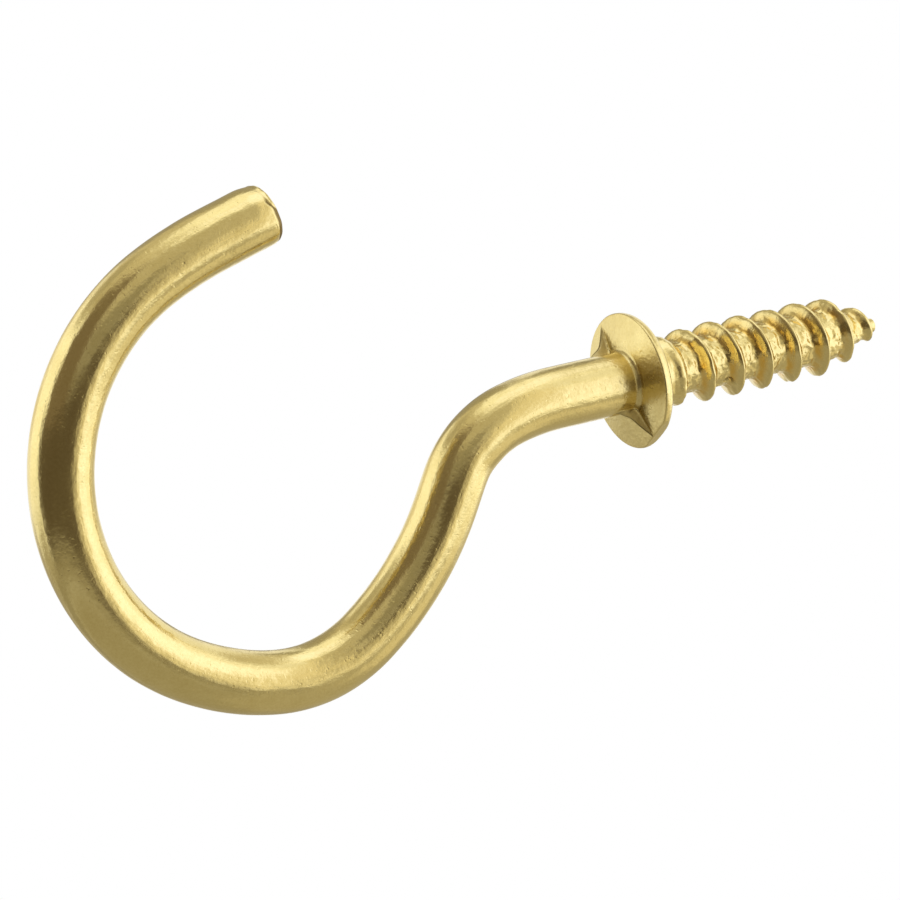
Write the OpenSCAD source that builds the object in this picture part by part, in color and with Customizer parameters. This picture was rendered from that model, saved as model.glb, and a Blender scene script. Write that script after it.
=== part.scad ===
// Screw-in cup hook, formed in one piece from round brass wire.
//
// The blank is upset between two half dies to raise the shoulder collar, the
// thread is rolled on above it, and the rest is bent into an open round hook.
//
// Frame, in millimetres: the origin is the centre of the collar's seat face,
// which stops against the underside of the shelf. +Z runs up the screw to its
// point. The hook hangs below, flat in the XZ plane, with its mouth at -X.

/* [Wire] */
// Diameter of the wire
wire_d = 3.5; // [2.8:0.05:4.4]
// Rounding on the cut end of the wire
end_round = 0.4; // [0.1:0.05:0.8]

/* [Neck] */
// Straight shank below the collar's seat face
shank_len = 5.45; // [3:0.05:15]
// Bend radius where the shank starts to lean out
ease_r = 14; // [8:0.5:30]
// Turn of that first easy bend, in degrees
ease_turn = 13; // [2:1:30]
// Radius of the neck bend
neck_r = 6; // [3:0.5:12]
// Turn of the neck bend, in degrees
neck_turn = 48; // [20:1:60]
// Straight wire between the neck bend and the loop
neck_len = 1.3; // [0.5:0.1:5]

/* [Loop] */
// Radius of the loop's upper back
back_r = 17.5; // [8:0.5:30]
// Turn of the upper back, in degrees
back_turn = 28; // [10:1:45]
// Radius of the loop's heel
heel_r = 8.3; // [4:0.1:14]
// Turn of the heel, in degrees
heel_turn = 43; // [20:1:60]
// Radius of the loop's floor, where a cup handle rests
floor_r = 15.2; // [8:0.1:24]
// Turn of the floor, in degrees
floor_turn = 21; // [5:1:40]
// Radius of the loop's round front
front_r = 11.95; // [6:0.05:18]
// Turn of the front, in degrees
front_turn = 124; // [60:1:140]
// Radius of the easy bend that leads into the lip
lip_r = 23; // [10:1:40]
// Turn of that bend, in degrees
lip_turn = 10; // [2:1:25]
// Straight lip up to the cut end
lip_len = 3.3; // [1:0.1:12]

/* [Collar] */
// Outside diameter of the collar
collar_d = 7.75; // [6.4:0.05:12]
// Thickness of the collar at its rounded rim
rim_h = 0.6; // [0.4:0.05:1.2]
// Slope of the collar's under face, rising to the shank, in degrees
face_slope = 9; // [0:1:20]
// Blend radius between the under face and the shank
root_fillet = 0.45; // [0.2:0.05:0.8]

/* [Die fins] */
// Direction of one die fin about the screw axis, from +X toward +Y
fin_az = 144.5; // [0:0.5:180]
// Height of a fin where it meets the shank, below the seat face
fin_h = 2.3; // [1.2:0.1:3]
// Width of a fin at its foot on the shank
fin_w = 0.8; // [0.3:0.1:1.5]
// Bare rim left outside a fin
fin_margin = 0.2; // [0.1:0.05:1]

/* [Screw] */
// Length of the screw above the collar
screw_len = 16.45; // [12:0.05:30]
// Thread diameter over the crests
thread_d = 4.4; // [3.6:0.05:5.4]
// Thread diameter at the roots
root_d = 3; // [2.4:0.1:3.5]
// Thread pitch, right-handed
pitch = 1.98; // [1.4:0.02:3]
// Neck diameter between the collar and the first thread
screw_neck_d = 4; // [3:0.1:4.8]
// Length of the plain neck above the seat face
plain_len = 2.05; // [2.05:0.05:2.9]
// Length over which the roots then cut down to their full depth
root_runout = 0.5; // [0.3:0.1:2]
// Length over which the crests then rise to their full height
crest_runout = 0.9; // [0.5:0.1:3]
// Length of the tapered point
point_len = 3.35; // [2:0.05:5]
// Diameter of the blunt tip over its last crest
tip_d = 1.6; // [0.8:0.1:2]
// Height at which a crest crosses the +X side, less whole pitches
crest_start = 0.45; // [0:0.05:3]

/* [Hidden] */

$fn = 64;
BRASS = [0.80, 0.66, 0.36];

wire_r = wire_d / 2;

// The wire's runs in order from the seat face: [bend radius, turn]. A turn is
// positive toward +X; a radius of 0 marks a straight run, and its length.
WIRE_RUNS = [
    [0, shank_len],
    [ease_r, ease_turn],
    [neck_r, neck_turn],
    [0, neck_len],
    [back_r, -back_turn],
    [heel_r, -heel_turn],
    [floor_r, -floor_turn],
    [front_r, -front_turn],
    [lip_r, -lip_turn],
];

// A ball fills each joint between two runs. It stands this far proud of the
// wire, so that the runs join without a gap.
joint_proud = 0.01;

// Collar section: x is the radius, y the height. The fillet circle touches both
// the shank and the sloping under face.
rim_r = collar_d / 2;
rim_centre = rim_r - rim_h / 2;
fillet_x = wire_r + root_fillet;
fillet_y = under_face(fillet_x) - root_fillet / cos(face_slope);
fillet_touch = [fillet_x - root_fillet * sin(face_slope), fillet_y + root_fillet * cos(face_slope)];

// How far a fin's foot is sunk in the shank.
fin_sink = 0.3;

// Screw mesh: points round each ring, rings a pitch, and the part that is sunk
// in the collar.
RING_POINTS = 28;
RINGS_PER_PITCH = 10;
screw_sink = rim_h / 2;
crest_power = 2.4;
tip_root_share = 0.6;
tip_cap_h = 0.15;

function under_face(r) = -rim_h - (rim_centre - r) * tan(face_slope);

// Radius at the thread's crests and roots at height z.
function crest_r(z) = lookup(z, [
    [0, screw_neck_d / 2],
    [plain_len, screw_neck_d / 2],
    [plain_len + crest_runout, thread_d / 2],
    [screw_len - point_len, thread_d / 2],
    [screw_len - tip_cap_h, tip_d / 2],
    [screw_len, tip_d / 2 * tip_root_share],
]);
function root_r(z) = lookup(z, [
    [0, screw_neck_d / 2],
    [plain_len, screw_neck_d / 2],
    [plain_len + root_runout, root_d / 2],
    [screw_len - point_len, root_d / 2],
    [screw_len - tip_cap_h, tip_d / 2 * tip_root_share],
    [screw_len, tip_d / 2 * tip_root_share],
]);

// Radius of the threaded screw at direction a and height z. The crest follows
// a right-handed helix through crest_start on the +X side.
function screw_r(a, z) =
    let (phase = 360 * (z - crest_start) / pitch - a)
    let (ridge = pow((1 + cos(phase)) / 2, crest_power))
    root_r(z) + max(0, crest_r(z) - root_r(z)) * ridge;

// One straight or bent run of wire, from the origin toward -Z.
module wire_run(r, turn) {
    if (r == 0)
        translate([0, 0, -turn]) cylinder(h = turn, r = wire_r);
    else
        translate([sign(turn) * r, 0, 0])
            rotate([90, 0, 0])
                rotate([0, 0, turn > 0 ? 180 : turn])
                    rotate_extrude(angle = abs(turn))
                        translate([r, 0]) circle(r = wire_r);
}

// Moves the children to the far end of a run, heading along it.
module at_run_end(r, turn) {
    if (r == 0)
        translate([0, 0, -turn]) children();
    else
        translate([sign(turn) * r * (1 - cos(turn)), 0, -r * sin(abs(turn))])
            rotate([0, -turn, 0]) children();
}

// The straight lip, with its cut end rounded over.
module lip() {
    mirror([0, 0, 1])
        rotate_extrude() {
            square([wire_r, lip_len - end_round]);
            square([wire_r - end_round, lip_len]);
            translate([wire_r - end_round, lip_len - end_round])
                intersection() {
                    circle(r = end_round);
                    square(end_round);
                }
        }
}

// Run number i of the wire and all that follow it, ending in the lip.
module bent_wire(i = 0) {
    if (i < len(WIRE_RUNS)) {
        wire_run(WIRE_RUNS[i][0], WIRE_RUNS[i][1]);
        at_run_end(WIRE_RUNS[i][0], WIRE_RUNS[i][1]) {
            sphere(r = wire_r + joint_proud);
            bent_wire(i + 1);
        }
    } else
        lip();
}

// The shoulder: flat seat face, round rim, sloping under face, blended root.
module collar() {
    rotate_extrude() {
        difference() {
            polygon([
                [0, 0],
                [rim_centre, 0],
                [rim_centre, -rim_h],
                fillet_touch,
                [wire_r, fillet_y],
                [0, fillet_y],
            ]);
            translate([fillet_x, fillet_y]) circle(r = root_fillet);
        }
        translate([rim_centre, -rim_h / 2])
            intersection() {
                circle(d = rim_h);
                translate([0, -rim_h / 2]) square(rim_h);
            }
    }
}

// Fin squeezed into the gap between the half dies: a sharp crest that falls
// from the shank to a point near the rim.
module die_fin() {
    foot = wire_r - fin_sink;
    top = -rim_h / 2;
    polyhedron(
        points = [
            [foot, 0, -fin_h],
            [foot, -fin_w / 2, top],
            [foot, fin_w / 2, top],
            [rim_r - fin_margin, 0, under_face(rim_r - fin_margin) + rim_h / 4],
        ],
        faces = [[0, 2, 1], [0, 3, 2], [0, 1, 3], [1, 2, 3]]
    );
}

// Threaded screw: a stack of rings whose radius follows screw_r().
module screw() {
    ring_gap = pitch / RINGS_PER_PITCH;
    rings = ceil((screw_len - tip_cap_h) / ring_gap);
    heights = [
        -screw_sink,
        for (i = [0 : rings - 1]) i * ring_gap,
        screw_len - tip_cap_h,
        screw_len,
    ];
    angles = [for (j = [0 : RING_POINTS - 1]) 360 * j / RING_POINTS];
    points = [
        for (z = heights, a = angles)
            let (r = screw_r(a, max(z, 0))) [r * cos(a), r * sin(a), z]
    ];
    last = (len(heights) - 1) * RING_POINTS;
    sides = [
        for (i = [0 : len(heights) - 2], j = [0 : RING_POINTS - 1])
            let (k = i * RING_POINTS, n = (j + 1) % RING_POINTS)
            for (t = [[k + j, k + RING_POINTS + j, k + n],
                      [k + n, k + RING_POINTS + j, k + RING_POINTS + n]]) t
    ];
    bottom = [for (j = [0 : RING_POINTS - 1]) j];
    top = [for (j = [RING_POINTS - 1 : -1 : 0]) last + j];
    polyhedron(points = points, faces = concat([bottom], sides, [top]));
}

module cup_hook() {
    color(BRASS) {
        bent_wire();
        collar();
        for (side = [0, 180]) rotate([0, 0, fin_az + side]) die_fin();
        screw();
    }
}

cup_hook();
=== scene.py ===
"""Looks of the brass cup hook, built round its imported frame.

The hook is one piece of round wire, so it is one closed mesh: a ring swept from
the cut end, round the loop, up the shank, over the collar and along the screw
to its tip. Geometry Nodes sweep the ring and raise the thread. The marks of the
tools that formed the wire are then pressed into the mesh. Sizes are in
millimetres, and become metres where a mesh, lamp or camera is made.
"""
import math

import bpy
import numpy as np
from mathutils import Matrix, Vector, noise


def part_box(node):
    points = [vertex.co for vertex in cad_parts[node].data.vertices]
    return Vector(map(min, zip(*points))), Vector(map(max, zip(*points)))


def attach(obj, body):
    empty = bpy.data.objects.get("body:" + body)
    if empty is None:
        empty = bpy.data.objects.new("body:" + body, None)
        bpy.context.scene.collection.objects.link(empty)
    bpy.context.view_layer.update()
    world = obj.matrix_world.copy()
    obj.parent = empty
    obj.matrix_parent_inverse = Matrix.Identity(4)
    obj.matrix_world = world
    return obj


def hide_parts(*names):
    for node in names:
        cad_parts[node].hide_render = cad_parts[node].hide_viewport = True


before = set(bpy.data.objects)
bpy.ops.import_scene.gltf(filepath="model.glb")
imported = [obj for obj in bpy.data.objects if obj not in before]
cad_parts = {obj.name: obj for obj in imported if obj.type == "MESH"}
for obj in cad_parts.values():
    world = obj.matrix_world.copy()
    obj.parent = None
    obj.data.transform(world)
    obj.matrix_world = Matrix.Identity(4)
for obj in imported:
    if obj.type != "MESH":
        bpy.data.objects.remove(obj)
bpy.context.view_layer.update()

MM = 0.001
HOOK = "cup_hook"
high_corner = Vector(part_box(HOOK)[1]) / MM

# Wire, as bent: [bend radius, turn in degrees] from the seat face down. A turn is
# positive toward +X; a radius of 0 marks a straight run, and its length.
WIRE_R = 1.75
WIRE_RUNS = [
    [0, 5.45],
    [14, 13],
    [6, 48],
    [0, 1.3],
    [17.5, -28],
    [8.3, -43],
    [15.2, -21],
    [11.95, -124],
    [23, -10],
    [0, 3.3],
]
END_ROUND = 0.28

# Dents left by the bender: how far along the wire, which side of it, how long,
# how wide and how deep. Then how far the formed wire waves: (size, depth).
DENTS = (
    (12.2, 216, 0.8, 0.9, 0.075),
    (29.9, 205, 1.2, 1.1, 0.05),
    (35.2, 215, 1.6, 1.1, 0.04),
)
LONG_WAVES = (2.6, 0.010)
SHORT_WAVES = (1.1, 0.004)

# Cut end: the sides of the wire, in degrees, that its marks are on. Its outer
# edge is rolled over; the lip is torn from LIP_SIDE to where it fades out.
END_REACH = 1.5
ROLL_SIDE = 250
ROLL_REACH = 1.3
ROLL_DROP = 0.17
UNEVEN_REACH = 0.8
UNEVEN_DEPTH = 0.05
LIP_SIDE = 184
LIP_RISE = 0.5
LIP_DEPTH = 0.34
LIP_FADE_SIDE = 212
LIP_FADE = 0.3
LIP_FADE_SHARE = 0.85
TEAR_WIDTH = 0.16
TEAR_LEAST = 0.36
TEAR_WANDER = 0.08
TEAR_DEPTH = 0.04
TEAR_SOFT_START = 0.05
TEAR_SOFT_STOP = 0.06
# How much darker the flat cut face is.
SHEARED_DARKENING = 0.3
END_GRAIN = 0.5

# Collar: flat seat face, round rim, sloping under face, blended root.
COLLAR_R = high_corner.y
RIM_H = 0.6
RIM_CORNER = 0.1
RIM_ROLL = 0.3
RIM_CENTRE = COLLAR_R - RIM_CORNER
FACE_SLOPE = math.radians(9)
ROOT_FILLET = 0.32
# Painted shade in the root fillet, and the darkening below which a point there still counts as
# unshaded.
ROOT_SHADE = 0.2
UNSHADED = 0.05
NICK_ANGLE = math.radians(-38)
NICK_DEPTH = 0.25
NICK_REACH = 1
NICK_FLATNESS = 0.9

# Die fins: where the half dies met, either side of the shank. Each fin is its
# direction, how thick it is to either side, how full it stands, and what that
# fullness gains at its foot on the shank. The wire moves from just below its foot.
FIN_ANGLE = math.radians(144.5)
FINS = ((FIN_ANGLE, 0.15, 0.67, 0.34), (FIN_ANGLE + math.pi, 0.24, 0.80, -0.45))
FIN_FOOT_Z = -2.3
FIN_TIP_R = COLLAR_R - 0.2
FIN_SHARPNESS = 1.2
FIN_FOOT_SHARE = 0.25
FIN_FOOT_FADE = 0.12
FIN_FOOT_SPARE = 0.1
FIN_TAPER = 1.15
FIN_LEAST_TAPER = 0.3
FIN_THINNEST = 0.02
# Painted shade darkening the fins: how dark, and how quickly it spreads in from their sides.
FIN_SHADE = 0.55
FIN_SHADE_SPREAD = 3

# Screw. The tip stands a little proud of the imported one. The point's last crest
# and root are given as (height below the tip, radius), down to the tip's foot. The
# screw leans about X and about Y, and stands off the shank's axis in x and in y.
TIP_PROUD = 0.12
SCREW_LEN = high_corner.z + TIP_PROUD
PITCH = 1.98
THREAD_START = 0.45
CREST_R = 2.22
ROOT_R = 1.5
NECK_R = 2.0
NECK_FILLET = 0.15
NECK_SWELL = 0.08
PLAIN_LEN = 1.95
ROOT_RUNOUT = 0.5
CREST_RUNOUT = 2.9
CREST_TILT = 0.06
POINT_LEN = 3.47
POINT_CREST = ((0.72, 1.06), (0.5, 0.42))
POINT_ROOT = ((0.7, 0.6), (0.42, 0.42))
TIP_LEN = 0.12
TIP_ROUND = 0.08
TIP_FACE_R = 0.34
TIP_RING_R = 0.15
CREST_POWER = 3.6
SCREW_LEAN = (math.radians(0.12), math.radians(0.5))
SCREW_SHIFT = (-0.095, 0.076)
LEAN_START_R = 3.5
LEAN_FADE = 1.4

# Marks of rolling on the screw: one curled fold, and torn roots and nicked crests.
FOLD = (1.12, -1.0, 5.58)
FOLD_R = 0.26
FOLD_WIDTH = 0.09
FOLD_DEPTH = 0.16
# Painted shade in the fold's crease.
FOLD_SHADE = 0.9
ROLLED_FADE_IN = 0.8
ROLLED_FADE_OUT = 2.4
COARSE_FOLDS = (0.45, 0.7)
FINE_FOLDS = (0.22, 0.5)
FOLDS_DEPTH = 0.085
NICKS_SIZE = 0.6
NICKS_LEAST = 0.1
NICKS_DEPTH = 0.12
NECK_LUMPS = 0.06
NECK_LUMPS_START = 0.25
NECK_LUMPS_FADE = 0.3
NECK_LUMPS_PAST = 1
RIDGE_LEAST = 0.05
# Painted reflection: where on the thread's flanks the amber of brass mirrored in brass lies: how
# soon it rises from a flank's foot, where it ends toward the crest, and over how much it fades.
AMBER_FOOT = 0.1
AMBER_TOP = 0.75
AMBER_FADE = 0.5

# Mesh: points round the ring, how strongly they crowd toward the fins, and the
# gaps between rings along the wire, at the formed places and on the screw. A flat
# face rises a little from ring to ring, and closes on a very small ring. Last come
# how many rings cover each part of the cut end, the collar and the tip.
SIDES = 136
CROWDING = 0.4
WIRE_STEP = 0.25
FORMED_STEP = 0.07
SCREW_STEP = 0.075
FLAT_RISE = 0.003
FLAT_POLE_R = 0.03
END_ZONE = 2.4
FIN_ZONE = 0.3
CUT_RINGS = 12
EDGE_RINGS = 9
ROOT_RINGS = 9
FACE_RINGS = 22
CORNER_RINGS = 6
ROLL_RINGS = 19
SEAT_RINGS = 11
BLEND_RINGS = 4
TIP_RINGS = 4


# ---------------------------------------------------------------- node helpers
def add(tree, kind, *values, **settings):
    """A node with its settings made and its inputs filled or linked, in order."""
    made = tree.nodes.new(kind)
    for name, value in settings.items():
        setattr(made, name, value)
    sockets = [s for s in made.inputs if s.enabled]
    for socket, value in zip(sockets, values):
        if isinstance(value, bpy.types.NodeSocket):
            tree.links.new(value, socket)
        elif value is not None:
            socket.default_value = value
    return made


def sums(tree, operation, *values):
    """The output of one Math node."""
    return add(tree, "ShaderNodeMath", *values, operation=operation).outputs[0]


# ------------------------------------------------------------------ hook: line
def run_length(radius, turn):
    """Length along the wire's centre of one run."""
    return radius * abs(math.radians(turn)) if radius else turn


WIRE_LEN = sum(run_length(radius, turn) for radius, turn in WIRE_RUNS)


def on_wire(distance):
    """Centre (x, z) and heading of the wire, at a distance from the seat face."""
    x = z = heading = 0.0
    for radius, turn in WIRE_RUNS:
        part = min(distance, run_length(radius, turn))
        swing = math.copysign(part / radius, turn) if radius else 0.0
        chord = 2 * radius * math.sin(abs(swing) / 2) if radius else part
        x += chord * math.sin(heading + swing / 2)
        z -= chord * math.cos(heading + swing / 2)
        heading += swing
        distance -= part
        if distance <= 0:
            break
    return x, z, heading


def arc(centre_r, centre_z, radius, start, end, pieces):
    """Points (z, r) of an arc in the collar's section, with angles in degrees."""
    angles = np.radians(np.linspace(start, end, pieces + 1))
    return [(centre_z + radius * math.sin(a), centre_r + radius * math.cos(a)) for a in angles]


def under_face(r):
    """Height of the collar's under face at radius r."""
    return -RIM_H - (RIM_CENTRE - r) * math.tan(FACE_SLOPE)


def rim_section():
    """Points (z, r) over the rim: a tight lower corner, then a roll in to the seat."""
    corner = arc(RIM_CENTRE, RIM_CORNER - RIM_H, RIM_CORNER, -90, 0, CORNER_RINGS)
    rise = RIM_H - RIM_CORNER
    roll = [
        (rise * (math.sin(a) - 1), COLLAR_R - RIM_ROLL * (1 - math.cos(a)))
        for a in np.radians(np.linspace(0, 90, ROLL_RINGS)[1:])
    ]
    return corner + roll


def collar_section():
    """Points (z, r) from the shank over the collar to the screw's neck."""
    fillet_r = WIRE_R + ROOT_FILLET
    fillet_z = under_face(fillet_r) - ROOT_FILLET / math.cos(FACE_SLOPE)
    root_end = 90 + math.degrees(FACE_SLOPE)
    root = arc(fillet_r, fillet_z, ROOT_FILLET, 180, root_end, ROOT_RINGS)
    face_radii = np.linspace(root[-1][1], RIM_CENTRE, FACE_RINGS)[1:-1]
    face = [(under_face(r), r) for r in face_radii]
    rim = rim_section()
    blend_r = NECK_R + NECK_FILLET
    seat_radii = np.linspace(COLLAR_R - RIM_ROLL, blend_r, SEAT_RINGS)[1:-1]
    seat = [(FLAT_RISE * (i + 1), r) for i, r in enumerate(seat_radii)]
    blend = arc(blend_r, NECK_FILLET + seat[-1][0], NECK_FILLET, 270, 180, BLEND_RINGS)
    return root + face + rim + seat + blend[1:]


def screw_radius(z, swell, runout, full_r, point):
    """Radius at height z: the neck, the run-out to the full radius, then the point."""
    heights = [0, PLAIN_LEN, PLAIN_LEN + runout, SCREW_LEN - POINT_LEN]
    radii = [NECK_R, NECK_R + swell, full_r, full_r]
    for below, radius in point:
        heights.append(SCREW_LEN - below)
        radii.append(radius)
    return float(np.interp(z, heights, radii))


def crest_radius(z):
    """Radius over the thread's crests at height z."""
    return screw_radius(z, NECK_SWELL, CREST_RUNOUT, CREST_R, POINT_CREST)


def root_radius(z):
    """Radius at the thread's roots at height z."""
    return screw_radius(z, -NECK_SWELL, ROOT_RUNOUT, ROOT_R, POINT_ROOT)


def cut_end_rings():
    """(depth, radius) of the rings over the wire's cut face and rounded edge."""
    face_r = WIRE_R - END_ROUND
    flat = [(FLAT_RISE * i, r) for i, r in enumerate(np.linspace(FLAT_POLE_R, face_r, CUT_RINGS))]
    bends = np.radians(np.linspace(10, 90, EDGE_RINGS))
    start = flat[-1][0]
    return flat + [
        (start + END_ROUND * (1 - math.cos(a)), face_r + END_ROUND * math.sin(a)) for a in bends
    ]


def hook_rings():
    """Every ring from the cut end to the tip: (x, z, radius, crest radius, distance)."""
    rings = []
    for depth, r in cut_end_rings():
        x, z, _ = on_wire(WIRE_LEN - depth)
        rings.append((x, z, r, r, WIRE_LEN - depth))
    section = collar_section()
    end_zone = WIRE_LEN - END_ZONE
    fin_zone = -FIN_FOOT_Z + FIN_ZONE
    stretches = (
        (rings[-1][4] - FORMED_STEP, end_zone, FORMED_STEP),
        (end_zone, fin_zone, WIRE_STEP),
        (fin_zone, -section[0][0] + FORMED_STEP / 2, FORMED_STEP),
    )
    for start, stop, step in stretches:
        for distance in np.arange(start, stop, -step):
            x, z, _ = on_wire(distance)
            rings.append((x, z, WIRE_R, WIRE_R, distance))
    for z, r in section:
        rings.append((0, z, r, r, -z))
    for z in np.arange(section[-1][0] + SCREW_STEP, SCREW_LEN - TIP_LEN, SCREW_STEP):
        rings.append((0, z, root_radius(z), crest_radius(z), -z))
    for z, r in arc(TIP_FACE_R, SCREW_LEN - TIP_ROUND, TIP_ROUND, 0, 80, TIP_RINGS):
        rings.append((0, z, r, r, -z))
    rings.append((0, SCREW_LEN - FLAT_RISE / 4, TIP_RING_R, TIP_RING_R, -SCREW_LEN))
    rings.append((0, SCREW_LEN, FLAT_POLE_R, FLAT_POLE_R, -SCREW_LEN))
    return rings


def spine_mesh(rings):
    """The rings' centres as a line of edges that carries each ring's sizes."""
    mesh = bpy.data.meshes.new("hook_spine")
    centres = [(x * MM, 0, z * MM) for x, z, *_ in rings]
    mesh.from_pydata(centres, [(i, i + 1) for i in range(len(rings) - 1)], [])
    for name, column in (("section", 2), ("crest", 3), ("distance", 4)):
        layer = mesh.attributes.new(name, "FLOAT", "POINT")
        layer.data.foreach_set("value", [ring[column] * MM for ring in rings])
    return mesh


# ----------------------------------------------------------------- hook: sweep
def sweep_tree():
    """Geometry Nodes that sweep a ring along the spine and raise the thread on it."""
    tree = bpy.data.node_groups.new("sweep_hook", "GeometryNodeTree")
    face = tree.interface
    face.new_socket("Geometry", in_out="INPUT", socket_type="NodeSocketGeometry")
    for name, kind in (
        ("Sides", "NodeSocketInt"),
        ("Crowding", "NodeSocketFloat"),
        ("Fin Angle", "NodeSocketFloat"),
        ("Pitch", "NodeSocketFloat"),
        ("Thread Start", "NodeSocketFloat"),
        ("Crest Tilt", "NodeSocketFloat"),
        ("Crest Power", "NodeSocketFloat"),
        ("Finish", "NodeSocketMaterial"),
    ):
        face.new_socket(name, in_out="INPUT", socket_type=kind)
    face.new_socket("Geometry", in_out="OUTPUT", socket_type="NodeSocketGeometry")
    size = tree.nodes.new("NodeGroupInput").outputs

    def named(name, kind="FLOAT"):
        return add(tree, "GeometryNodeInputNamedAttribute", name, data_type=kind).outputs[0]

    def store(geometry, name, value):
        kind = "FLOAT_VECTOR"
        return add(
            tree, "GeometryNodeStoreNamedAttribute", geometry, True, name, value, data_type=kind
        ).outputs[0]

    def split(vector):
        return add(tree, "ShaderNodeSeparateXYZ", vector).outputs

    def join(x, y, z):
        return add(tree, "ShaderNodeCombineXYZ", x, y, z).outputs[0]

    here = add(tree, "GeometryNodeInputPosition").outputs[0]

    # The ring: its points crowd toward the two fins. A ring's angle starts a
    # quarter turn behind the direction about the screw's axis.
    index = add(tree, "GeometryNodeInputIndex").outputs[0]
    even = sums(tree, "MULTIPLY", sums(tree, "DIVIDE", index, size["Sides"]), 2 * math.pi)
    pull = sums(tree, "SINE", sums(tree, "MULTIPLY", even, 2.0))
    crowded = sums(tree, "SUBTRACT", even, sums(tree, "MULTIPLY", pull, size["Crowding"]))
    quarter = math.pi / 2
    angle = sums(tree, "ADD", crowded, sums(tree, "SUBTRACT", size["Fin Angle"], quarter))
    round_point = join(sums(tree, "COSINE", angle), sums(tree, "SINE", angle), 0.0)
    circle = add(tree, "GeometryNodeCurvePrimitiveCircle", size["Sides"], 1.0).outputs[0]
    ring = add(tree, "GeometryNodeSetPosition", circle, True, round_point).outputs[0]
    ring = store(ring, "round", here)

    # The sweep: the spine's normal is held across the wire, so a ring never twists.
    curve = add(tree, "GeometryNodeMeshToCurve", size["Geometry"]).outputs[0]
    held = add(tree, "GeometryNodeSetCurveNormal", curve, True, (0, 1, 0), mode="FREE").outputs[0]
    sweep = add(tree, "GeometryNodeCurveToMesh")
    tree.links.new(held, sweep.inputs["Curve"])
    tree.links.new(ring, sweep.inputs["Profile Curve"])
    tree.links.new(named("section"), sweep.inputs["Scale"])
    sweep.inputs["Fill Caps"].default_value = True

    # Place on the straight wire before it was bent, for grain that follows it.
    side = split(named("round", "FLOAT_VECTOR"))
    flat_x = sums(tree, "MULTIPLY", side[0], named("section"))
    flat_y = sums(tree, "MULTIPLY", side[1], named("section"))
    hook = store(sweep.outputs[0], "wire_co", join(flat_x, flat_y, named("distance")))

    # The thread: a ridge whose crest climbs one pitch a turn, to the right.
    place = split(here)
    heading = sums(tree, "ARCTAN2", place[1], place[0])
    tilt = sums(tree, "MULTIPLY", sums(tree, "COSINE", heading), size["Crest Tilt"])
    level = sums(tree, "ADD", sums(tree, "SUBTRACT", place[2], size["Thread Start"]), tilt)
    climb = sums(tree, "DIVIDE", level, size["Pitch"])
    phase = sums(tree, "SUBTRACT", sums(tree, "MULTIPLY", climb, 2 * math.pi), heading)
    swell = sums(tree, "MULTIPLY", sums(tree, "ADD", sums(tree, "COSINE", phase), 1.0), 0.5)
    ridge = sums(tree, "POWER", swell, size["Crest Power"])
    rise = sums(tree, "MULTIPLY", sums(tree, "SUBTRACT", named("crest"), named("section")), ridge)
    across = join(sums(tree, "COSINE", heading), sums(tree, "SINE", heading), 0.0)
    lift = add(tree, "ShaderNodeVectorMath", across, operation="SCALE")
    tree.links.new(rise, lift.inputs["Scale"])
    hook = add(tree, "GeometryNodeSetPosition", hook, True, None, lift.outputs[0])
    hook = add(tree, "GeometryNodeSetShadeSmooth", hook.outputs[0], True, True).outputs[0]
    hook = add(tree, "GeometryNodeRealizeInstances", hook).outputs[0]
    hook = add(tree, "GeometryNodeSetMaterial", hook, True, size["Finish"]).outputs[0]
    tree.links.new(hook, tree.nodes.new("NodeGroupOutput").inputs[0])
    return tree


def sweep_hook(rings, finish):
    """The swept hook as a plain mesh object."""
    spine = bpy.data.objects.new("hook_spine", spine_mesh(rings))
    bpy.context.scene.collection.objects.link(spine)
    tree = sweep_tree()
    sweep = spine.modifiers.new("sweep", "NODES")
    sweep.node_group = tree
    sizes = {
        "Sides": SIDES,
        "Crowding": CROWDING,
        "Fin Angle": FIN_ANGLE,
        "Pitch": PITCH * MM,
        "Thread Start": THREAD_START * MM,
        "Crest Tilt": CREST_TILT * MM,
        "Crest Power": CREST_POWER,
        "Finish": finish,
    }
    for item in tree.interface.items_tree:
        if item.in_out == "INPUT" and item.name in sizes:
            sweep[item.identifier] = sizes[item.name]
    swept = spine.evaluated_get(bpy.context.evaluated_depsgraph_get())
    mesh = bpy.data.meshes.new_from_object(swept)
    spine.modifiers.remove(sweep)
    bpy.data.objects.remove(spine)
    mesh.name = "hook_in_brass"
    return mesh


# ----------------------------------------------------------------- hook: marks
# How far apart, along each axis, two seeds take their noise.
SEED_STEPS = (17.3, 5.9, 11.1)


def smooth(x):
    """Rises smoothly from 0 to 1 as x does."""
    x = np.clip(x, 0, 1)
    return x * x * (3 - 2 * x)


def rough(points, size, seed):
    """Smooth noise from -1 to 1 at each point, with features of about that size."""
    shift = Vector([seed * step for step in SEED_STEPS])
    return np.array([noise.noise(Vector(p) / size + shift) for p in points])


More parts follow.
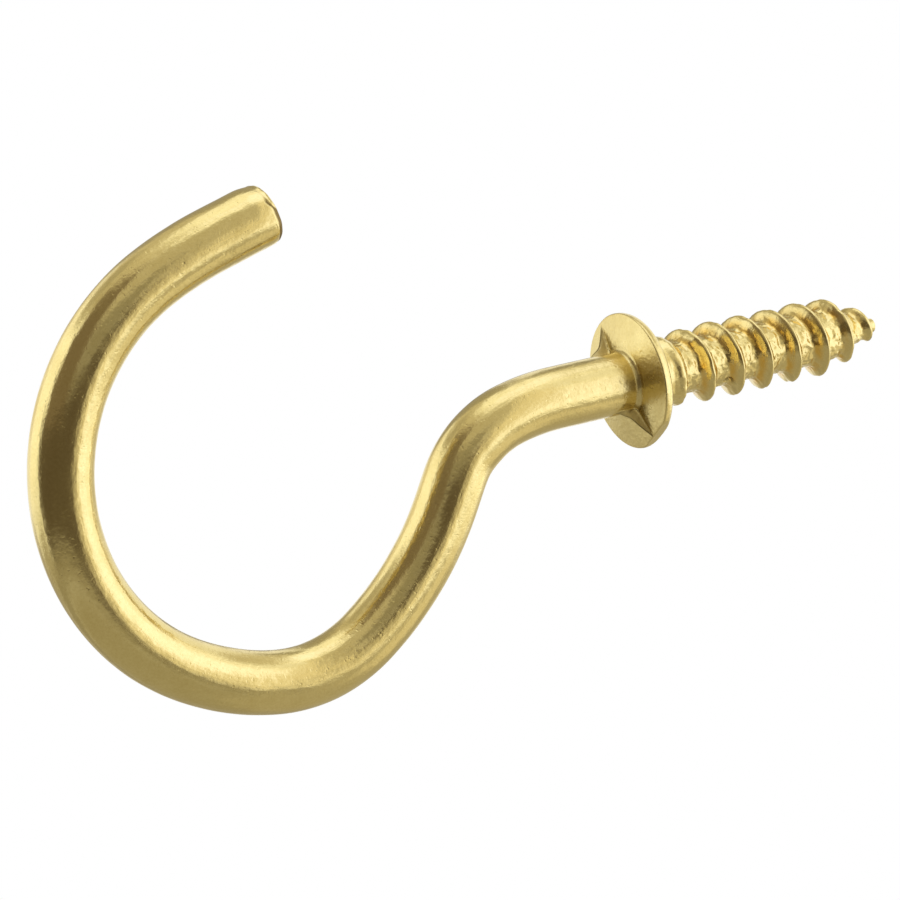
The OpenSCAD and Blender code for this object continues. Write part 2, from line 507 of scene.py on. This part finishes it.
class Marks:
    """The swept hook's points, in millimetres, with what the marks need to know of them."""

    def __init__(self, mesh, rings):
        self.mesh = mesh
        self.co = np.empty(len(mesh.vertices) * 3, np.float32)
        mesh.vertices.foreach_get("co", self.co)
        self.co = self.co.reshape(-1, 3).astype(float) / MM
        ring = np.repeat(np.arange(len(rings)), SIDES)
        table = np.array(rings, float)[ring]
        self.radius, self.crest, self.distance = table[:, 2], table[:, 3], table[:, 4]
        self.centre = np.column_stack([table[:, 0], np.zeros(len(ring)), table[:, 1]])
        out = self.co - self.centre
        self.out = out / np.linalg.norm(out, axis=1)[:, None]
        wire = np.empty(len(ring) * 3, np.float32)
        mesh.attributes["wire_co"].data.foreach_get("vector", wire)
        self.wire = wire.reshape(-1, 3).astype(float) / MM
        self.side = np.arctan2(self.wire[:, 1], self.wire[:, 0])
        # How far each point is darkened: painted shade on the fins, in the root fillet, the fold
        # and the torn lip, and the darker flat cut face.
        self.scuff_and_shade = np.zeros(len(ring))
        widest = int(np.argmax(np.abs(np.array(rings)[:, 2] - COLLAR_R) < 1e-6))
        self.seat_or_screw = np.arange(len(ring)) > SIDES * widest

    def push(self, amount):
        """Moves each point outward from the wire's centre line."""
        self.co += self.out * amount[:, None]

    def note(self, name, value):
        """Keeps a value at each point for the finish to read."""
        layer = self.mesh.attributes.new(name, "FLOAT", "POINT")
        layer.data.foreach_set("value", np.asarray(value, np.float32))

    def write(self):
        """Puts the moved points back in the mesh."""
        self.mesh.vertices.foreach_set("co", (self.co * MM).astype(np.float32).ravel())
        self.mesh.update()


def angle_gap(angles, angle):
    """How far each angle is from one angle, from -pi to pi."""
    return (angles - angle + math.pi) % (2 * math.pi) - math.pi


def raise_fins(hook):
    """Draws the wire up into two sharp fins where the half dies met, and paints shade on them."""
    z = hook.co[:, 2]
    r = np.hypot(hook.co[:, 0], hook.co[:, 1])
    tip_z = under_face(FIN_TIP_R)
    run = (z - FIN_FOOT_Z) + (r - WIRE_R)
    t = run / ((tip_z - FIN_FOOT_Z) + (FIN_TIP_R - WIRE_R))
    above_foot = hook.distance < FIN_FOOT_SPARE - FIN_FOOT_Z
    under = (t > 0) & (t < 1) & ~hook.seat_or_screw & above_foot
    line_r = WIRE_R + (FIN_TIP_R - WIRE_R) * t
    line_z = FIN_FOOT_Z + (tip_z - FIN_FOOT_Z) * t
    for angle, thick, fullness, foot in FINS:
        half = thick * np.clip(FIN_TAPER - t, FIN_LEAST_TAPER, 1) * smooth(t / FIN_FOOT_FADE)
        full = fullness + foot * np.exp(-t / FIN_FOOT_SHARE)
        along = hook.co[:, 0] * math.cos(angle) + hook.co[:, 1] * math.sin(angle)
        across = hook.co[:, 1] * math.cos(angle) - hook.co[:, 0] * math.sin(angle)
        near = np.clip(1 - np.abs(across) / np.maximum(half, FIN_THINNEST), 0, 1) ** FIN_SHARPNESS
        weight = np.where(under & (along > 0), full * near, 0)[:, None]
        line = np.column_stack([
            line_r * math.cos(angle) - across * math.sin(angle),
            line_r * math.sin(angle) + across * math.cos(angle),
            line_z,
        ])
        hook.co += (line - hook.co) * weight
        # Painted shade: darkens the fins' flanks.
        hook.scuff_and_shade += FIN_SHADE * smooth(near * FIN_SHADE_SPREAD) * (under & (along > 0))


def flatten_nick(hook):
    """Flattens the collar's rim beside the lower fin."""
    reach = hook.co[:, 0] * math.cos(NICK_ANGLE) + hook.co[:, 1] * math.sin(NICK_ANGLE)
    on_rim = (hook.radius > RIM_CENTRE - NICK_REACH) & (hook.distance < 2 * RIM_H)
    past = np.where(on_rim, np.clip(reach - (COLLAR_R - NICK_DEPTH), 0, None), 0)
    hook.co[:, 0] -= past * math.cos(NICK_ANGLE) * NICK_FLATNESS
    hook.co[:, 1] -= past * math.sin(NICK_ANGLE) * NICK_FLATNESS


def dent(hook, distance, side, length, width, depth):
    """Presses a shallow dent in the wire: where along it, and which way it faces."""
    along = (hook.distance - distance) / length
    around = angle_gap(hook.side, math.radians(side)) * WIRE_R / width
    hook.push(-depth * np.exp(-along**2 - around**2))


def stamp_face(hook):
    """Marks the collar's under face, which keeps the die's rougher grain, and paints shade into the
    root fillet.
    """
    under = ~hook.seat_or_screw & (hook.radius > WIRE_R + FLAT_RISE)
    in_root = under & (hook.radius < WIRE_R + ROOT_FILLET)
    hook.note("stamped", under & ~in_root)
    # Painted shade: darkens the root fillet where the fins left it undarkened.
    hook.scuff_and_shade += ROOT_SHADE * (in_root & (hook.scuff_and_shade < UNSHADED))


def fold_thread(hook):
    """A curled fold at the foot of one crest, where the thread was rolled over itself, with shade
    painted into it.
    """
    place = hook.co - np.array(FOLD)
    gap = (np.linalg.norm(place, axis=1) - FOLD_R) / FOLD_WIDTH
    around = hook.co[:, 0] * FOLD[1] - hook.co[:, 1] * FOLD[0]
    curl = np.exp(-gap**2) * smooth(around / FOLD_R + 0.5)
    hook.push(-FOLD_DEPTH * curl)
    # Painted shade: darkens the fold.
    hook.scuff_and_shade += FOLD_SHADE * curl


def wear_wire(hook):
    """The bender's dents, and the faint waviness of formed wire."""
    for distance, side, length, width, depth in DENTS:
        dent(hook, distance, side, length, width, depth)
    long_size, long_depth = LONG_WAVES
    short_size, short_depth = SHORT_WAVES
    waves = long_depth * rough(hook.wire, long_size, 1)
    waves += short_depth * rough(hook.wire, short_size, 2)
    hook.push(np.where(hook.radius <= COLLAR_R, waves, 0))


def burr_end(hook):
    """Rolls the cut end's outer edge over, leaves its lip uneven, paints shade into the torn band
    at its lip and darkens the flat cut face.
    """
    from_end = WIRE_LEN - hook.distance
    near = hook.distance > WIRE_LEN - END_REACH
    edge = (hook.radius / WIRE_R) ** 4
    outer = np.clip(np.cos(angle_gap(hook.side, math.radians(ROLL_SIDE))), 0, 1)
    drop = ROLL_DROP * (1 - smooth(from_end / ROLL_REACH)) * outer * edge
    uneven = UNEVEN_DEPTH * (1 - smooth(from_end / UNEVEN_REACH)) * rough(hook.wire, END_GRAIN, 3)
    hook.push(np.where(near, uneven * edge - drop, 0))
    lip = LIP_DEPTH * smooth(angle_gap(hook.side, math.radians(LIP_SIDE)) / LIP_RISE)
    depth = np.maximum(lip + TEAR_WIDTH, TEAR_LEAST)
    depth = depth + TEAR_WANDER * rough(hook.wire, END_GRAIN, 7)
    faded = smooth(angle_gap(hook.side, math.radians(LIP_FADE_SIDE)) / LIP_FADE)
    torn = smooth((from_end - lip) / TEAR_SOFT_START) * smooth((depth - from_end) / TEAR_SOFT_STOP)
    torn = torn * (1 - LIP_FADE_SHARE * faded)
    sheared = SHEARED_DARKENING * (hook.radius < WIRE_R - END_ROUND)
    hook.push(-TEAR_DEPTH * torn * near * edge)
    # Painted shade in the torn band at the lip; the flat cut face is darkened as well.
    hook.scuff_and_shade += np.where(near, np.maximum(torn, sheared), 0)


def crumple_screw(hook):
    """Metal torn up in the thread's roots, nicks along its crests, and a painted amber reflection
    on its flanks.
    """
    r = np.hypot(hook.co[:, 0], hook.co[:, 1])
    depth = np.maximum(hook.crest - hook.radius, RIDGE_LEAST)
    ridge = np.clip((r - hook.radius) / depth, 0, 1)
    rolled = smooth((-hook.distance - PLAIN_LEN) / ROLLED_FADE_IN) * (hook.distance < 0)
    rolled = rolled * smooth((SCREW_LEN + hook.distance) / ROLLED_FADE_OUT)
    coarse_size, coarse_share = COARSE_FOLDS
    fine_size, fine_share = FINE_FOLDS
    folds = coarse_share * rough(hook.co, coarse_size, 4)
    folds += fine_share * rough(hook.co, fine_size, 5)
    nicks = np.clip(rough(hook.co, NICKS_SIZE, 6) - NICKS_LEAST, 0, 1)
    hook.push(rolled * (FOLDS_DEPTH * folds * (1 - ridge) - NICKS_DEPTH * nicks * ridge**2))
    neck = smooth((-hook.distance - NECK_LUMPS_START) / NECK_LUMPS_FADE)
    neck = neck * (1 - rolled) * (hook.distance > -PLAIN_LEN - NECK_LUMPS_PAST)
    hook.push(NECK_LUMPS * neck * folds)
    hook.note("torn", rolled * (1 - ridge) ** 2)
    # Painted reflection: amber on the flanks, standing in for the neighbouring brass they mirror.
    flank = smooth(ridge / AMBER_FOOT) * smooth((AMBER_TOP - ridge) / AMBER_FADE)
    hook.note("amber_reflection", rolled * flank)


def lean_screw(hook):
    """Sets the screw a little out of true with the shank, blended in over the seat."""
    blend = smooth((LEAN_START_R - hook.radius) / LEAN_FADE)
    share = np.where(hook.seat_or_screw, blend, 0)
    z = hook.co[:, 2]
    hook.co[:, 0] += share * (SCREW_SHIFT[0] + z * math.tan(SCREW_LEAN[1]))
    hook.co[:, 1] += share * (SCREW_SHIFT[1] - z * math.tan(SCREW_LEAN[0]))


def make_hook(finish):
    """The whole hook, with its marks."""
    rings = hook_rings()
    hook = Marks(sweep_hook(rings, finish), rings)
    wear_wire(hook)
    burr_end(hook)
    raise_fins(hook)
    flatten_nick(hook)
    crumple_screw(hook)
    fold_thread(hook)
    stamp_face(hook)
    lean_screw(hook)
    hook.note("scuff_and_shade", hook.scuff_and_shade)
    hook.write()
    piece = bpy.data.objects.new("hook_in_brass", hook.mesh)
    bpy.context.scene.collection.objects.link(piece)
    return piece


# -------------------------------------------------------------------- material
BRASS = (0.88, 0.73, 0.32, 1)
BRASS_DEEP = (0.74, 0.59, 0.22, 1)
# The darkest brass: painted shade on the fins, in the root fillet, the fold and the torn lip, and
# the darker flat cut face.
BRASS_SHADE_AND_CUT = (0.24, 0.17, 0.06, 1)
# Painted reflection: the amber of brass mirrored in brass, on the thread's flanks.
BRASS_REFLECTED = (0.88, 0.56, 0.11, 1)

# How much the deeper brass and the painted amber reflection show at most, and where.
DEEP_SHARE = 0.6
AMBER_LEAST, AMBER_MOST = 0.15, 0.9

# Where each pattern starts and stops showing, on its own scale from 0 to 1.
PITS_SPAN = (0.64, 0.78)
DEEP_SPAN = (0.38, 0.68)
AMBER_SPAN = (0.38, 0.62)
HAZE_SPAN = (0.35, 0.65)

# Roughness of the clean metal, and what marks add to it.
SMOOTHEST, DULLEST = 0.15, 0.25
SCUFF_HAZE = 0.25
STAMP_HAZE = 0.12

# How high each kind of grain stands, as a share of the relief's depth.
RELIEF = 0.016
LINES_RISE = 0.3
SPECKS_RISE = 0.3
STAMP_SPECKS_RISE = 0.4
STREAKS_RISE = 0.8
PITS_SINK = 0.35
RUCKS_RISE = 3.0


def grain(tree, place, size, stretch=1, detail=1):
    """Noise of about that size in millimetres, stretched along the wire."""
    scaled = add(tree, "ShaderNodeVectorMath", place, operation="MULTIPLY")
    each = 1 / (size * MM)
    scaled.inputs[1].default_value = (each, each, each / stretch)
    made = add(tree, "ShaderNodeTexNoise")
    tree.links.new(scaled.outputs[0], made.inputs["Vector"])
    made.inputs["Scale"].default_value = 1
    made.inputs["Detail"].default_value = detail
    return made.outputs[0]


def between(tree, value, span, start, end):
    """Maps a value across its span to start..end, held at both ends."""
    return add(tree, "ShaderNodeMapRange", value, *span, start, end).outputs[0]


def blended(tree, one, one_share, other, other_share):
    """The sum of two patterns, each by its share."""
    return sums(tree, "MULTIPLY_ADD", one, one_share, sums(tree, "MULTIPLY", other, other_share))


def tinted(tree, colour, share, other):
    """A colour with a share of another mixed in."""
    mix = add(tree, "ShaderNodeMix", data_type="RGBA")
    tree.links.new(share, mix.inputs["Factor"])
    colours = [s for s in mix.inputs if s.type == "RGBA"]
    if isinstance(colour, bpy.types.NodeSocket):
        tree.links.new(colour, colours[0])
    else:
        colours[0].default_value = colour
    colours[1].default_value = other
    return [s for s in mix.outputs if s.type == "RGBA"][0]


def brass():
    """Bright-dipped brass: drawing lines along the wire, speckle, pits, cloudy patches, painted
    shade and a painted amber reflection.
    """
    material = bpy.data.materials.new("bright_brass")
    material.use_nodes = True
    tree = material.node_tree
    tree.nodes.clear()
    wire = add(tree, "ShaderNodeAttribute", attribute_name="wire_co").outputs["Vector"]
    place = add(tree, "ShaderNodeTexCoord").outputs["Object"]
    torn = add(tree, "ShaderNodeAttribute", attribute_name="torn").outputs["Fac"]
    scuff_and_shade = add(tree, "ShaderNodeAttribute", attribute_name="scuff_and_shade").outputs["Fac"]
    stamped = add(tree, "ShaderNodeAttribute", attribute_name="stamped").outputs["Fac"]
    amber_reflection = add(tree, "ShaderNodeAttribute", attribute_name="amber_reflection").outputs["Fac"]
    lines = grain(tree, wire, size=0.13, stretch=16)
    streaks = grain(tree, wire, size=0.5, stretch=8)
    blotch = grain(tree, wire, size=0.36, stretch=1.8)
    speckle = grain(tree, place, size=0.15)
    crumple = grain(tree, place, size=0.32)
    reflection_noise = grain(tree, place, size=0.8)
    clouds = grain(tree, place, size=1.5, detail=3)
    pits = between(tree, grain(tree, place, size=0.22), PITS_SPAN, 0, 1)

    shade = blended(tree, clouds, 0.5, speckle, 0.5)
    colour = tinted(tree, BRASS, between(tree, shade, DEEP_SPAN, 0, DEEP_SHARE), BRASS_DEEP)
    # Painted reflection: amber painted on the thread's flanks, in uneven patches.
    patches = between(tree, reflection_noise, AMBER_SPAN, AMBER_LEAST, AMBER_MOST)
    painted_reflection = sums(tree, "MULTIPLY", amber_reflection, patches)
    colour = tinted(tree, colour, painted_reflection, BRASS_REFLECTED)
    # Painted shade: darkens toward the darkest brass on the fins, in the root fillet, the fold and
    # the torn lip, and on the flat cut face.
    colour = tinted(tree, colour, scuff_and_shade, BRASS_SHADE_AND_CUT)

    haze = between(tree, blended(tree, clouds, 0.6, streaks, 0.4), HAZE_SPAN, SMOOTHEST, DULLEST)
    haze = sums(tree, "MULTIPLY_ADD", scuff_and_shade, SCUFF_HAZE, haze)
    haze = sums(tree, "MULTIPLY_ADD", stamped, STAMP_HAZE, haze)

    specks = sums(tree, "MULTIPLY_ADD", stamped, STAMP_SPECKS_RISE, SPECKS_RISE)
    rucks = sums(tree, "MULTIPLY", torn, crumple)
    height = blotch
    for pattern, rise in (
        (lines, LINES_RISE),
        (speckle, specks),
        (streaks, STREAKS_RISE),
        (pits, -PITS_SINK),
        (rucks, RUCKS_RISE),
    ):
        height = sums(tree, "MULTIPLY_ADD", pattern, rise, height)
    bump = add(tree, "ShaderNodeBump")
    bump.inputs["Strength"].default_value = 1
    bump.inputs["Distance"].default_value = RELIEF * MM
    tree.links.new(height, bump.inputs["Height"])

    metal = add(tree, "ShaderNodeBsdfPrincipled")
    metal.inputs["Metallic"].default_value = 1
    tree.links.new(colour, metal.inputs["Base Color"])
    tree.links.new(haze, metal.inputs["Roughness"])
    tree.links.new(bump.outputs[0], metal.inputs["Normal"])
    out = add(tree, "ShaderNodeOutputMaterial")
    tree.links.new(metal.outputs[0], out.inputs["Surface"])
    return material


# ---------------------------------------------------------------------- camera
# The camera looks up at the hook from below one side, with the screw to its right.
CAMERA_PLACE = Vector((-44.18, -185.99, -118.95))
AHEAD = Vector((0.2086, 0.8488, 0.4858)).normalized()
UP = Vector((-0.9718, 0.1242, 0.2003)).normalized()
RIGHT = AHEAD.cross(UP).normalized()
LENS = 160
SENSOR = 36
NEAREST, FARTHEST = 0.001, 20


def make_camera():
    """A long lens at the viewing angle."""
    data = bpy.data.cameras.new("camera")
    data.lens = LENS
    data.sensor_width = SENSOR
    data.clip_start = NEAREST
    data.clip_end = FARTHEST
    camera = bpy.data.objects.new("camera", data)
    turn = Matrix((RIGHT, RIGHT.cross(AHEAD), -AHEAD)).transposed().to_4x4()
    camera.matrix_world = Matrix.Translation(CAMERA_PLACE * MM) @ turn
    bpy.context.scene.collection.objects.link(camera)
    bpy.context.scene.camera = camera


# ---------------------------------------------------------------------- studio
# The sphere that the cards stand on.
TENT_CENTRE = Vector((-0.6, 0, -12))
TENT_R = 138

# The floor: its height, half its width in metres, and how pale and how lit it is.
FLOOR_Z = -156
FLOOR_HALF = 3.0
FLOOR_PALE = 0.86
FLOOR_LIGHT = 0.6

# Each lamp's name, place, width and brightness.
LAMPS = (
    ("lamp_overhead", (150, -250, 600), 500, 1.2),
    ("lamp_side", (-600, 60, 250), 400, 0.8),
)

# Cards: how wide their soft edge is and how fine their mesh, in degrees, with the
# fewest faces along a side, and how much nearer each card is than the one before.
SOFT_EDGE = 7
CARD_STEP = 3.5
CARD_LEAST_FACES = 4
CARD_GAP = 0.5
WHITE = (1.0, 1.0, 1.0)
WARM = (1.0, 0.92, 0.74)
BROWN = (1.0, 0.80, 0.58)
COOL = (0.98, 1.0, 1.15)

# Each card's name, its span in longitude and in latitude, its tint and its level. A
# later card hides an earlier one.
CARDS = (
    ("card_below", (-180, 180), (-90, -46), WARM, 0.38),
    ("card_below_edge", (-180, 180), (-47, -30), WARM, 0.34),
    ("card_below_left", (-98, -56), (-31, -22), WARM, 0.40),
    ("card_below_near", (-58, -22), (-31, -12), WARM, 0.42),
    ("card_below_right", (8, 120), (-78, -20), WARM, 0.45),
    ("card_below_centre", (16, 44), (-22, 4), WARM, 0.62),
    ("card_below_ahead", (-26, 14), (-34, -20), WARM, 0.48),
    ("card_below_glow", (60, 98), (-42, -16), WARM, 0.76),
    ("card_top", (-180, 180), (61, 90), WHITE, 1.15),
    ("card_top_back", (118, 236), (60, 90), WHITE, 1.20),
    ("card_top_right", (36, 190), (67, 90), COOL, 1.26),
    ("card_left_top", (-168, -20), (39, 69), WARM, 0.63),
    ("card_left_dusk", (-99, -66), (34, 58), WARM, 0.46),
    ("card_behind_top", (-42, -8), (12, 48), WARM, 0.38),
    ("card_behind_rise", (-42, -8), (42, 70), WARM, 0.39),
    ("card_behind_edge", (0, 15), (38, 60), WARM, 0.32),
    ("card_behind_high", (-4, 22), (53, 66), WARM, 0.38),
    ("card_behind_low", (-12, 10), (5, 17), WARM, 0.24),
    ("card_right_gap", (14, 92), (46, 64), WARM, 0.62),
    ("card_left_fill", (-66, -38), (2, 30), WARM, 0.84),
    ("card_left_low", (-96, -62), (-11, 0), WHITE, 1.18),
    ("card_left_soft", (-109, -62), (-4, 33), WHITE, 1.22),
    ("card_left_glint", (-66, -54), (18, 33), WHITE, 1.24),
    ("card_right_soft", (62, 126), (-20, 42), WHITE, 1.20),
    ("card_right_centre", (84, 123), (-14, 34), COOL, 1.38),
    ("card_camera", (129, 254), (-33, 8), BROWN, 0.11),
    ("card_camera_left", (194, 248), (2, 52), BROWN, 0.20),
    ("card_camera_mid", (150, 196), (6, 30), WARM, 0.30),
    ("card_camera_high", (150, 196), (28, 58), WARM, 0.54),
    ("card_right_low", (119, 129), (-26, 6), WARM, 0.95),
    ("card_right_dusk", (129, 142), (-28, 9), WARM, 0.54),
    ("card_right_edge", (120, 138), (-2, 62), WARM, 0.90),
    ("card_right_back", (137, 152), (8, 62), WARM, 0.54),
)


def make_world():
    """White all round, and a softer white for the light that falls on the floor."""
    world = bpy.data.worlds.new("studio")
    world.use_nodes = True
    tree = world.node_tree
    tree.nodes.clear()
    dull = add(tree, "ShaderNodeBackground", (1, 1, 1, 1), FLOOR_LIGHT).outputs[0]
    ray = add(tree, "ShaderNodeLightPath").outputs
    seen = sums(tree, "MAXIMUM", ray["Is Camera Ray"], ray["Is Glossy Ray"])
    seen = sums(tree, "MAXIMUM", seen, ray["Is Transmission Ray"])
    white = add(tree, "ShaderNodeBackground", (1, 1, 1, 1), 1.0).outputs[0]
    mixed = add(tree, "ShaderNodeMixShader", seen, dull, white).outputs[0]
    tree.links.new(mixed, add(tree, "ShaderNodeOutputWorld").inputs["Surface"])
    bpy.context.scene.world = world


def toward(lon, lat):
    """Direction by longitude from ahead toward the right, and latitude toward the top."""
    lon, lat = math.radians(lon), math.radians(lat)
    level = math.cos(lon) * AHEAD + math.sin(lon) * RIGHT
    return math.cos(lat) * level + math.sin(lat) * UP


def glow(name, colour, level):
    """A glowing face that thins out to nothing where its cover falls away."""
    material = bpy.data.materials.new(name)
    material.use_nodes = True
    tree = material.node_tree
    tree.nodes.clear()
    cover = add(tree, "ShaderNodeAttribute", attribute_name="cover").outputs["Fac"]
    clear = add(tree, "ShaderNodeBsdfTransparent").outputs[0]
    light = add(tree, "ShaderNodeEmission", (*colour, 1), level).outputs[0]
    mixed = add(tree, "ShaderNodeMixShader", cover, clear, light).outputs[0]
    tree.links.new(mixed, add(tree, "ShaderNodeOutputMaterial").inputs["Surface"])
    return material


def edge_cover(values, low, high, ends):
    """1 across low..high, fading over the soft edge at each side unless it is an end."""
    whole = np.ones(len(values))
    from_low = whole if low <= ends[0] else (values - low) / SOFT_EDGE + 0.5
    from_high = whole if high >= ends[1] else (high - values) / SOFT_EDGE + 0.5
    return smooth(from_low) * smooth(from_high)


def card(name, lon, lat, colour, level, nearer):
    """A curved card with soft edges, round the hook, that only its gloss sees."""
    whole_turn = lon[1] - lon[0] >= 360
    margin = SOFT_EDGE / 2
    span = lon if whole_turn else (lon[0] - margin, lon[1] + margin)
    rise = (max(-90, lat[0] - margin), min(90, lat[1] + margin))
    columns = max(CARD_LEAST_FACES, round((span[1] - span[0]) / CARD_STEP))
    rows = max(CARD_LEAST_FACES, round((rise[1] - rise[0]) / CARD_STEP))
    lons = np.linspace(*span, columns + 1)
    lats = np.linspace(*rise, rows + 1)
    points = [
        (TENT_CENTRE + (TENT_R - nearer) * toward(a, b)) * MM for b in lats for a in lons
    ]
    faces = [
        (i, i + 1, i + columns + 2, i + columns + 1)
        for row in range(rows)
        for i in range(row * (columns + 1), row * (columns + 1) + columns)
    ]
    no_ends = (-math.inf, math.inf)
    across = np.ones(columns + 1) if whole_turn else edge_cover(lons, *lon, no_ends)
    cover = np.outer(edge_cover(lats, *lat, (-90, 90)), across)
    mesh = bpy.data.meshes.new(name)
    mesh.from_pydata(points, [], faces)
    layer = mesh.attributes.new("cover", "FLOAT", "POINT")
    layer.data.foreach_set("value", cover.ravel().astype(np.float32))
    mesh.materials.append(glow(name, colour, level))
    made = bpy.data.objects.new(name, mesh)
    bpy.context.scene.collection.objects.link(made)
    made.visible_camera = False
    made.visible_diffuse = False
    made.visible_shadow = False
    made.visible_transmission = False


def make_cards():
    """Grey and bright cards that shape what the metal reflects."""
    for number, (name, lon, lat, colour, level) in enumerate(CARDS):
        card(name, lon, lat, colour, level, CARD_GAP * number)


def make_floor():
    """A plain pale floor below the hook."""
    z = FLOOR_Z * MM
    mesh = bpy.data.meshes.new("floor")
    corners = [(x * FLOOR_HALF, y * FLOOR_HALF, z) for x, y in ((-1, -1), (1, -1), (1, 1), (-1, 1))]
    mesh.from_pydata(corners, [], [(0, 1, 2, 3)])
    material = bpy.data.materials.new("pale_floor")
    material.use_nodes = True
    tree = material.node_tree
    tree.nodes.clear()
    pale = add(tree, "ShaderNodeBsdfDiffuse", (FLOOR_PALE, FLOOR_PALE, FLOOR_PALE, 1)).outputs[0]
    ray = add(tree, "ShaderNodeLightPath").outputs
    white = add(tree, "ShaderNodeEmission", (1, 1, 1, 1), 1.0).outputs[0]
    seen = sums(tree, "MAXIMUM", ray["Is Glossy Ray"], ray["Is Transmission Ray"])
    mixed = add(tree, "ShaderNodeMixShader", seen, pale, white).outputs[0]
    tree.links.new(mixed, add(tree, "ShaderNodeOutputMaterial").inputs["Surface"])
    mesh.materials.append(material)
    floor = bpy.data.objects.new("floor", mesh)
    bpy.context.scene.collection.objects.link(floor)


def softbox(name, place, size, level):
    """A square area lamp aimed at the hook, of a given brightness."""
    data = bpy.data.lights.new(name, "AREA")
    data.size = size * MM
    data.energy = level * math.pi * (size * MM) ** 2
    lamp = bpy.data.objects.new(name, data)
    lamp.location = place * MM
    aim = (TENT_CENTRE - place).to_track_quat("-Z", "Y")
    lamp.rotation_euler = aim.to_euler()
    bpy.context.scene.collection.objects.link(lamp)


def make_studio():
    """Soft lamps over a pale floor, with cards round the hook."""
    bpy.context.scene.view_settings.view_transform = "Standard"
    make_world()
    make_floor()
    for name, place, size, level in LAMPS:
        softbox(name, Vector(place), size, level)
    make_cards()


# ------------------------------------------------------------------------ main
make_camera()
hook = make_hook(brass())
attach(hook, "root")
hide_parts(HOOK)
make_studio()
